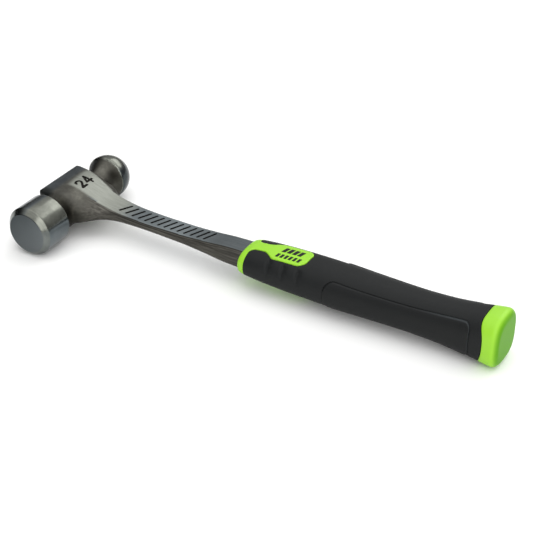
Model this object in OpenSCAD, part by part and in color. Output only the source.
// Ball peen hammer: a one-piece forging with a forked tang, in a two-colour moulded grip.
// The hammer lies on its side: handle along X with the head at -X, striking face at -Y,
// ball at +Y, cheek up at +Z. The origin is under the middle of the object, on the surface
// it lies on.

/* [Head] */
// Distance from the handle's axis to the striking face
face_reach = 55; // [48:0.5:62]
// Radius of the poll, the round drum behind the striking face
poll_r = 17.5; // [15.5:0.5:19]
// Length of the poll from the face to the groove behind it
poll_len = 25.6; // [22:0.2:28]
// Length of the bevel around the striking face
face_bevel = 3.8; // [1:0.2:6]
// Radius of the ball
ball_r = 15.7; // [13:0.1:17]
// Distance from the handle's axis to the ball's far end
ball_reach = 53; // [48:0.5:58]
// Height of the head above the handle's axis, on the side away from the handle
block_top = 15.2; // [13:0.2:17]
// Half thickness of the cheeks
cheek_half = 12.3; // [10:0.1:14]

/* [Shaft] */
// Half thickness of the shaft at its waist
waist_half = 2.6; // [2:0.1:4]
// Distance of the waist from the head's centre
waist_x = 66; // [62:1:76]
// Depth of the engraved bars in the shaft's flat
engraving_depth = 0.5; // [0.2:0.1:0.8]
// Number of engraved bars
engraving_bars = 14; // [4:1:16]

/* [Tang] */
// Width of the slot between the fork's tines
fork_gap = 5; // [3:0.5:7]
// Where the slot between the tines starts
fork_start = 196; // [180:1:230]
// Where the tines end
tang_end = 296; // [280:1:298]

/* [Grip] */
// Front of the collar, measured from the head's centre
collar_x = 141; // [139:0.5:142]
// Length of the collar's ring
collar_len = 5.2; // [4:0.2:6]
// Joint between the soft grip and the butt cap
cap_x = 312; // [308:0.5:314]
// End of the butt cap
grip_end = 323; // [320:0.5:324]
// Rounding of the butt cap's edge
cap_round = 5; // [3:0.5:7]
// How far the label flags and the side pads stand proud
proud = 0.5; // [0.2:0.1:0.8]
// Thickness of the side pads
pad_depth = 1; // [0.6:0.1:1.1]
// Depth of the finger grooves
groove_depth = 0.9; // [0.3:0.1:1.4]

/* [Hidden] */
$fn = 72;

steel = "#6d7172";
green = "#a2dc46";
black = "#2b2d2d";
ring_points = 32;
middle_x = (grip_end - poll_r) / 2;
middle_y = (ball_reach - face_reach) / 2;

// Hand-chosen stations along the handle, each as [x, value]. The last list is the exponent
// of the grip's oval: 2 is an ellipse, more is squarer.
block_half_w = 21.3;
bar_half_w = [[-block_top, block_half_w], [14, block_half_w], [20, 18.2], [25, 14.4], [31, 11.2],
    [38, 9.6], [48, 9.2], [waist_x, 9.1], [96, 9.1], [112, 9.5], [128, 10.6], [collar_x + 8, 11]];
bar_middle = [[-block_top, 0.8], [14, 0.8], [25, 1.6], [38, 2.9], [48, 2.4], [waist_x, 1.8],
    [96, 0.9], [124, 0], [collar_x + 8, 0]];
bar_half_t = [[-block_top, cheek_half], [-7, cheek_half + 0.9], [4, cheek_half + 0.2],
    [16, 9], [26, 6], [36, 4.2], [48, 3], [waist_x, waist_half], [82, waist_half + 0.4],
    [96, 3.5], [112, 4.8], [128, 6.4], [collar_x + 8, 6.9]];
bar_half_side = [[-block_top, 11], [0, 8], [16, 5], [26, 3.2], [38, 2], [waist_x, 1.2], [96, 1.8],
    [112, 2.4], [128, 3.2], [collar_x + 8, 3.5]];
flat_half_w = [[-block_top, 21], [-4, 18.4], [8, 12.6], [20, 9.4], [34, 8.3], [waist_x, 7.9],
    [96, 7.4], [128, 7.2], [collar_x + 8, 7.2]];
flat_middle = [[-block_top, 0.8], [-4, 2], [8, 4.2], [20, 3.6], [34, 3], [48, 2.4], [waist_x, 1.8],
    [96, 0.9], [124, 0], [collar_x + 8, 0]];
grip_half_w = [[collar_x, 15.1], [146, 15.8], [156, 16.4], [172, 16.8], [190, 16.9], [206, 16.7],
    [228, 15.7], [246, 15], [264, 14.4], [284, 14.3], [300, 15], [316, 16.4], [330, 17]];
grip_half_t = [[collar_x, 8.4], [146, 9.4], [156, 10.5], [172, 11.6], [190, 12.2], [206, 12.5],
    [228, 12.5], [246, 12.3], [264, 12.3], [284, 13.1], [300, 14.7], [316, 17], [330, 17.8]];
grip_middle = [[collar_x, 0], [270, 0], [316, 0.7], [330, 0.8]];
squareness = [[collar_x, 2.5], [206, 2.45], [284, 2.6], [316, 3], [330, 3.1]];

// Handle axis above the surface: the butt cap and the poll both lie on it
axis_height = max(poll_r, along(grip_end - cap_round, grip_half_t));

tang_half = [10.2, 5];
sleeve_wall = 1.3;
core_half = [13.2, 7.6];
core_round = 3.5;
sleeve_round = 2;
shoulder_x = collar_x + collar_len;
boss_len = 9;
flag_neck = 4.6;         // half widths of the flag at the collar and across the label
flag_half = 9.4;
flag_tip = 5.8;
flag_fillet = 4.2;
flag_x = [shoulder_x - 1, 157, 164, 183.5, 187.4];
pad_x = [205.5, 304];
pad_half_h = [[pad_x[0], 9.8], [230, 9.2], [262, 9.2], [284, 10.4], [pad_x[1], 12]];
pad_corner = [6, 4];      // radius of the front and of the rear corners
groove_x = [164, 175.5, 187];
groove_r = 5;
groove_height = 15;
groove_middle = 3.5;
engraving_x = [41, 111];

// Which gap between two stations holds x
function gap_at(x, stations, i = 0) =
    i >= len(stations) - 2 || x < stations[i + 1][0] ? i : gap_at(x, stations, i + 1);

// Slope of the smooth curve at station i
function slope_at(stations, i) =
    i <= 0 || i >= len(stations) - 1 ? 0
    : (stations[i + 1][1] - stations[i - 1][1]) / (stations[i + 1][0] - stations[i - 1][0]);

// A smooth curve through the stations
function along(x, stations) =
    let (i = gap_at(x, stations))
    let (a = stations[i], b = stations[i + 1], h = b[0] - a[0])
    let (u = min(1, max(0, (x - a[0]) / h)))
    a[1] * (1 + 2 * u) * (1 - u) ^ 2 + b[1] * u ^ 2 * (3 - 2 * u)
        + h * u * (1 - u) * (slope_at(stations, i) * (1 - u) - slope_at(stations, i + 1) * u);

// Even steps from a to b
function steps(a, b, count) = [for (i = [0 : count]) a + (b - a) * i / count];

// An oval between an ellipse and a rectangle, across the handle at x
function oval(x, half_w, half_t) = [
    for (i = [0 : ring_points - 1])
        let (a = 360 * (i + 0.5) / ring_points, p = 2 / along(x, squareness))
        let (y = half_w * sign(cos(a)) * abs(cos(a)) ^ p)
        [x, along(x, grip_middle) + y, half_t * sign(sin(a)) * abs(sin(a)) ^ p]
];

function grip_oval(x, grow) = oval(x, along(x, grip_half_w) + grow, along(x, grip_half_t) + grow);

// Eight corners of the forged bar at x: two flats, two sides and four bevels
function bar_ring(x) =
    let (w = along(x, bar_half_w), m = along(x, bar_middle), s = along(x, bar_half_side))
    let (f = along(x, flat_half_w), c = along(x, flat_middle), t = along(x, bar_half_t))
    [[x, m + w, -s], [x, m + w, s], [x, c + f, t], [x, c - f, t],
     [x, m - w, s], [x, m - w, -s], [x, c - f, -t], [x, c + f, -t]];

// A closed solid through rings of the same number of points, in order of x
module loft(rings) {
    n = len(rings[0]);
    last = len(rings) - 1;
    sides = [
        for (k = [0 : last - 1], i = [0 : n - 1])
            let (j = (i + 1) % n)
            each [[k * n + j, k * n + i, (k + 1) * n + i],
                  [(k + 1) * n + j, k * n + j, (k + 1) * n + i]]
    ];
    front = [[for (i = [0 : n - 1]) i]];
    back = [[for (i = [0 : n - 1]) last * n + n - 1 - i]];
    polyhedron(points = [for (ring = rings) each ring], faces = concat(sides, front, back));
}

// Moves a shape from the head's centre to the part's own frame
module placed() {
    translate([-middle_x, -middle_y, axis_height])
        children();
}

module mirrored(axis) {
    children();
    mirror(axis)
        children();
}

// A bar along X with rounded long edges, from x0 to x1
module round_bar(x0, x1, half, r) {
    translate([x0, 0, 0])
        rotate([90, 0, 90])
            linear_extrude(x1 - x0)
                union() {
                    square([2 * half[0] - 2 * r, 2 * half[1]], center = true);
                    square([2 * half[0], 2 * half[1] - 2 * r], center = true);
                    for (y = [-1, 1], z = [-1, 1])
                        translate([y * (half[0] - r), z * (half[1] - r)])
                            circle(r);
                }
}

// Outline of the head's round ends, as [radius, distance along the head]
function ball_arc() =
    let (mid = ball_reach - ball_r)
    [for (a = [0 : 6 : 90]) [ball_r * cos(a), mid + ball_r * sin(a)]];

module head_rounds() {
    poll_back = poll_len - face_reach;
    ball_mid = ball_reach - ball_r;
    rotate([-90, 0, 0])
        rotate_extrude()
            polygon(concat(
                [[0, -face_reach], [poll_r - 3.5, -face_reach], [poll_r, face_bevel - face_reach],
                 [poll_r, poll_back - 1.6], [poll_r - 0.5, poll_back - 0.5], [poll_r - 1.6, poll_back],
                 [poll_r - 3.4, poll_back + 0.8], [poll_r - 4.6, poll_back + 2.4],
                 [poll_r - 4.8, poll_back + 5], [poll_r - 4, poll_back + 10], [9, 12],
                 [9, ball_mid - 14], [9.8, ball_mid - 11.5], [11.6, ball_mid - 8],
                 [13.8, ball_mid - 4.4], [15.3, ball_mid - 1.4]],
                ball_arc()));
}

// Slanted bars cut in the shaft's upper flat, where the forging is stamped
module engraving() {
    size = [1.8, 11.4, 4];
    for (x = steps(engraving_x[0], engraving_x[1], engraving_bars - 1)) {
        fall = atan2(along(x + 3, bar_half_t) - along(x - 3, bar_half_t), 6);
        translate([x, along(x, flat_middle), along(x, bar_half_t) - engraving_depth])
            rotate([0, -fall, -23])
                translate([-size[0] / 2, -size[1] / 2, 0])
                    cube(size);
    }
}

module forked_tang() {
    difference() {
        round_bar(shoulder_x - 2, tang_end, tang_half, 1);
        translate([fork_start, -fork_gap / 2, -20])
            cube([tang_end, fork_gap, 40]);
        translate([fork_start, 0, -20])
            cylinder(h = 40, r = fork_gap / 2);
    }
}

// Head, web, shaft and forked tang, forged in one piece
module forging() {
    color(steel)
        placed()
            union() {
                head_rounds();
                forked_tang();
                difference() {
                    loft([for (x = concat(steps(-block_top, 60, 19), steps(64, shoulder_x, 16)))
                        bar_ring(x)]);
                    engraving();
                }
            }
}

// Rubber web that fills the slot between the tines
module fork_damper() {
    color("#3b3f42")
        placed()
            intersection() {
                round_bar(shoulder_x, tang_end, tang_half, 1);
                union() {
                    translate([fork_start, -fork_gap / 2, -20])
                        cube([tang_end, fork_gap, 40]);
                    translate([fork_start, 0, -20])
                        cylinder(h = 40, r = fork_gap / 2);
                }
            }
}

// Rubber sleeve that keeps the tang off the rigid core
module tang_sleeve() {
    outer = [tang_half[0] + sleeve_wall, tang_half[1] + sleeve_wall];
    color("#46494c")
        placed()
            difference() {
                round_bar(shoulder_x, tang_end + 3, outer, sleeve_round);
                round_bar(shoulder_x - 1, tang_end, tang_half, 1);
            }
}

// Plan of a label flag with its neck back to the collar
module flag_plan() {
    r = flag_fillet;
    upper = concat(
        [[flag_x[0], flag_neck + r]],
        [for (a = [0 : 15 : 90])
            [flag_x[0] + 1 + r * (1 - cos(a)), flag_neck + r * (1 - sin(a))]],
        [[flag_x[1], flag_neck], [flag_x[2], flag_half], [flag_x[3], flag_half],
            [flag_x[4], flag_tip]]);
    polygon(concat(upper, [for (i = [len(upper) - 1 : -1 : 0]) [upper[i][0], -upper[i][1]]]));
}

// Plan of the raised marks on a label flag: an upper and a lower row of slanted bars
module badge_plan() {
    for (i = [0 : 3])
        translate([166.6 + i * 3.8, 1.7])
            polygon([[0, -2.8], [2.7, -2.8], [3.9, 2.8], [1.2, 2.8]]);
    for (i = [0 : 5])
        translate([165.2 + i * 3.1, -5.4])
            polygon([[0, -1.8], [1.9, -1.8], [2.7, 1.8], [0.8, 1.8]]);
}

module grip_skin(x0, x1, grow, count) {
    loft([for (x = steps(x0, x1, count)) grip_oval(x, grow)]);
}

// Rigid green moulding: collar, tube over the tang and the two label flags
module grip_core() {
    color(green)
        placed()
            difference() {
                union() {
                    round_bar(shoulder_x - 1, cap_x, core_half, core_round);
                    grip_skin(collar_x, shoulder_x, 0, 3);
                    intersection() {
                        grip_skin(flag_x[0], flag_x[4] + 4, proud, 12);
                        translate([0, 0, -30])
                            linear_extrude(60)
                                flag_plan();
                    }
                }
                round_bar(shoulder_x - 1.5, cap_x + 1,
                    [tang_half[0] + sleeve_wall, tang_half[1] + sleeve_wall], sleeve_round);
                loft([for (x = steps(collar_x - 3, shoulder_x, 4)) bar_ring(x)]);
                mirrored([0, 0, 1])
                    badge_pockets();
            }
}

// The space that the raised marks fill in a label flag
module badge_pockets() {
    translate([0, 0, core_half[1] + 2])
        linear_extrude(12)
            badge_plan();
}

// Black inlaid marks, in both label flags
module badge_bars() {
    color(black)
        placed()
            mirrored([0, 0, 1])
                intersection() {
                    badge_pockets();
                    grip_skin(flag_x[1], flag_x[4] + 4, proud + 0.15, 10);
                }
}

// A quarter of a circle from angle a0, as points
function quarter(middle, r, a0) = [for (a = [a0 : 15 : a0 + 90]) middle + r * [cos(a), sin(a)]];

// Upper half of a side pad's outline, from front to rear, seen square to the striking face
function pad_edge() =
    let (f = pad_corner[0], r = pad_corner[1], x0 = pad_x[0], x1 = pad_x[1])
    let (front = quarter([x0 + f, along(x0 + f, pad_half_h) - f], f, 90))
    let (rear = quarter([x1 - r, along(x1 - r, pad_half_h) - r], r, 0))
    concat(
        [for (i = [len(front) - 1 : -1 : 0]) front[i]],
        [for (x = steps(x0 + f + 6, x1 - r - 4, 12)) [x, along(x, pad_half_h)]],
        [for (i = [len(rear) - 1 : -1 : 0]) rear[i]]);

module pad_outline() {
    edge = pad_edge();
    polygon(concat(edge, [for (i = [len(edge) - 1 : -1 : 0]) [edge[i][0], -edge[i][1]]]));
}

// A prism through one side of the grip, in the pad's outline
module pad_prism() {
    rotate([90, 0, 0])
        linear_extrude(40)
            pad_outline();
}

// A pad on the face side, inlaid in the soft grip
module pad() {
    intersection() {
        difference() {
            grip_skin(pad_x[0] - 2, pad_x[1] + 2, proud, 18);
            grip_skin(pad_x[0] - 3, pad_x[1] + 3, -pad_depth, 18);
        }
        pad_prism();
    }
}

module face_side_pad() {
    color("#303233")
        placed()
            pad();
}

module ball_side_pad() {
    color("#303233")
        placed()
            mirror([0, 1, 0])
                pad();
}

// Shallow grooves for the fingers, on the face side of the grip
module finger_grooves() {
    for (x = groove_x)
        translate([x, groove_depth - along(x, grip_half_w) - groove_r, groove_middle])
            cylinder(h = groove_height, r = groove_r, center = true);
}

// Black overmould between the collar and the butt cap
module soft_grip() {
    color(black)
        placed()
            difference() {
                grip_skin(shoulder_x, cap_x, 0, 30);
                round_bar(shoulder_x - 1, cap_x + 1, core_half, core_round);
                translate([0, 0, -30])
                    linear_extrude(60)
                        flag_plan();
                mirrored([0, 1, 0])
                    difference() {
                        pad_prism();
                        grip_skin(pad_x[0] - 3, pad_x[1] + 3, -pad_depth, 18);
                    }
                finger_grooves();
            }
}

// One ring of the butt cap: full size first, then drawn in around the edge
function cap_ring(a) =
    let (x = grip_end - cap_round + cap_round * sin(a), shrink = cap_round * (1 - cos(a)))
    grip_oval(x, -shrink);

// Green cap that closes the butt end, with a boss that plugs the core
module butt_cap() {
    color(green)
        placed()
            union() {
                loft(concat(
                    [for (x = steps(cap_x, grip_end - cap_round - 1, 2)) grip_oval(x, 0)],
                    [for (a = [0 : 15 : 90]) cap_ring(a)]));
                round_bar(cap_x - boss_len, cap_x + 1,
                    [tang_half[0] + sleeve_wall, tang_half[1] + sleeve_wall], sleeve_round);
            }
}

forging();
fork_damper();
tang_sleeve();
grip_core();
soft_grip();
face_side_pad();
ball_side_pad();
butt_cap();
badge_bars();
